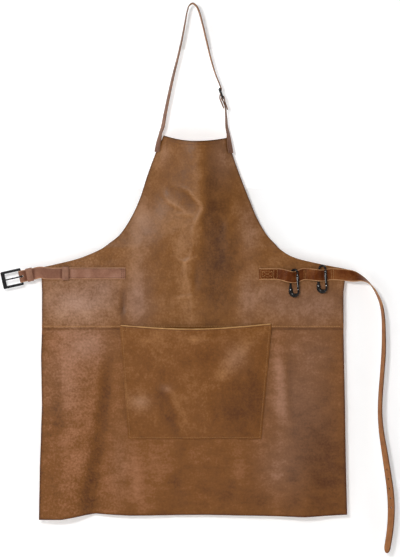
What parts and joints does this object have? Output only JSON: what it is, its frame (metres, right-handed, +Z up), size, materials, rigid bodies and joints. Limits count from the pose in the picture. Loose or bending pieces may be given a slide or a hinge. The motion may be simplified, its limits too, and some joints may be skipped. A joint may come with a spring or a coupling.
{
  "type": "leather apron",
  "caption": "Brown leather work apron hanging by its neck strap: curved bib, skirt with patch pocket, waist strap with snap hooks and an open buckle; shields the wearer's front",
  "frame": {"origin": "underside of the neck strap's peak, where it hangs on a peg", "axes": "+Z up, +X to the viewer's right, the front of the apron faces -Y"},
  "size_m": [0.9038, 0.0683, 1.2628],
  "materials": {
    "panel_leather": "waxed pull-up leather, mottled brown, satin",
    "pocket_leather": "waxed pull-up leather, golden olive brown, satin",
    "strap_leather": "thick brown strap leather with a tan flesh side",
    "black_metal": "black coated buckle metal, semi-gloss",
    "gunmetal": "dark gunmetal plating, worn bright along the gate"
  },
  "bodies": {
    "apron": {"bib_panel": "panel_leather", "skirt_panel": "panel_leather", "pocket": "pocket_leather", "buckle_tab": "strap_leather", "tab_keeper": "strap_leather", "loose_keeper": "strap_leather", "belt_strap": "strap_leather", "neck_strap_long": "strap_leather", "neck_strap_short": "strap_leather", "neck_buckle_frame": "black_metal", "neck_buckle_prong": "black_metal", "hook_1_body": "gunmetal", "hook_2_body": "gunmetal"},
    "waist_buckle": {"waist_buckle_frame": "black_metal"},
    "waist_prong": {"waist_buckle_prong": "black_metal"},
    "gate_1": {"hook_1_gate": "gunmetal"},
    "gate_2": {"hook_2_gate": "gunmetal"}
  },
  "joints": [
    {"name": "waist_buckle_turn", "type": "hinge", "parent": "apron", "child": "waist_buckle", "pos_m": [-0.3929, -0.0042, -0.6256], "axis": [-0.2164, 0, 0.9763], "range_deg": [-45, 45]},
    {"name": "waist_prong_turn", "type": "hinge", "parent": "waist_buckle", "child": "waist_prong", "pos_m": [-0.3929, -0.0042, -0.6256], "axis": [-0.2164, 0, 0.9763], "range_deg": [0, 75]},
    {"name": "hook_1_gate_turn", "type": "hinge", "parent": "apron", "child": "gate_1", "pos_m": [0.24223, -0.0129, -0.6551], "axis": [-0.4226, -0.9063, 0], "range_deg": [0, 8], "stiffness_Nm_per_rad": 0.3},
    {"name": "hook_2_gate_turn", "type": "hinge", "parent": "apron", "child": "gate_2", "pos_m": [0.30623, -0.0129, -0.6462], "axis": [-0.4226, -0.9063, 0], "range_deg": [0, 8], "stiffness_Nm_per_rad": 0.3}
  ]
}
